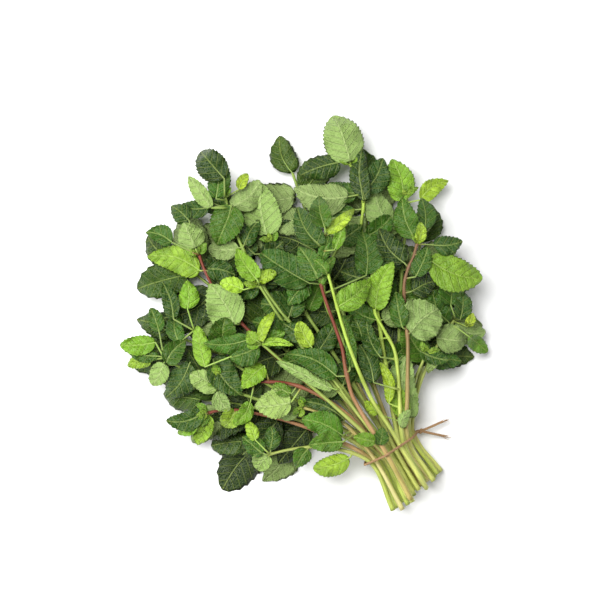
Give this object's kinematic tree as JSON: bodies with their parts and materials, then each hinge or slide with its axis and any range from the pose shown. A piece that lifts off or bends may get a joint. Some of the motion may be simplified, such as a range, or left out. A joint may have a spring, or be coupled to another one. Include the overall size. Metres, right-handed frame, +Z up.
{
  "type": "bunch of mint",
  "caption": "Tied bunch of fresh mint lying on its side: leafy sprigs fan out from a jute twine tie, with bare cut stems below it",
  "frame": {"origin": "under the middle of the bunch's box, on the surface that it lies on", "axes": "+Z up from the surface, +Y along the stems from the cut ends to the growing tips, +X across the fan of leaves to the right"},
  "size_m": [0.2622, 0.2884, 0.0716],
  "materials": {
    "mint_leaf": "satin, quilted leaf",
    "young_leaf": "satin, quilted young leaf",
    "mint_stem": "smooth ridged stem, red in places",
    "twine": "matt twisted jute"
  },
  "bodies": {
    "root": {"bare_stalk_1": "mint_stem", "bare_stalk_2": "mint_stem", "bare_stalk_3": "mint_stem", "bare_stalk_4": "mint_stem", "bare_stalk_5": "mint_stem", "bare_stalk_6": "mint_stem", "loose_leaf_1": "mint_leaf", "loose_leaf_2": "mint_leaf", "loose_leaf_3": "mint_leaf", "sprig_bright_tuft": "young_leaf", "sprig_brown_stem": "mint_leaf", "sprig_crest": "mint_leaf", "sprig_heart": "mint_leaf", "sprig_inner_left": "mint_leaf", "sprig_inner_right": "mint_leaf", "sprig_lance": "mint_leaf", "sprig_left_crest": "mint_leaf", "sprig_left_edge": "mint_leaf", "sprig_left_low": "mint_leaf", "sprig_left_middle": "mint_leaf", "sprig_left_tuft": "young_leaf", "sprig_light_stem": "young_leaf", "sprig_low_corner": "mint_leaf", "sprig_pale_leaf": "mint_leaf", "sprig_red_branch": "mint_leaf", "sprig_red_fork": "mint_leaf", "sprig_red_middle": "mint_leaf", "sprig_right_edge": "mint_leaf", "sprig_right_tie": "mint_leaf", "sprig_right_upper": "mint_leaf", "twine": "twine", "under_sprig_1": "mint_leaf", "under_sprig_2": "mint_leaf", "under_sprig_3": "mint_leaf", "under_sprig_4": "mint_leaf", "under_sprig_5": "mint_leaf", "under_sprig_6": "mint_leaf", "under_sprig_7": "mint_leaf", "under_sprig_8": "mint_leaf", "under_sprig_9": "mint_leaf"}
  },
  "joints": []
}
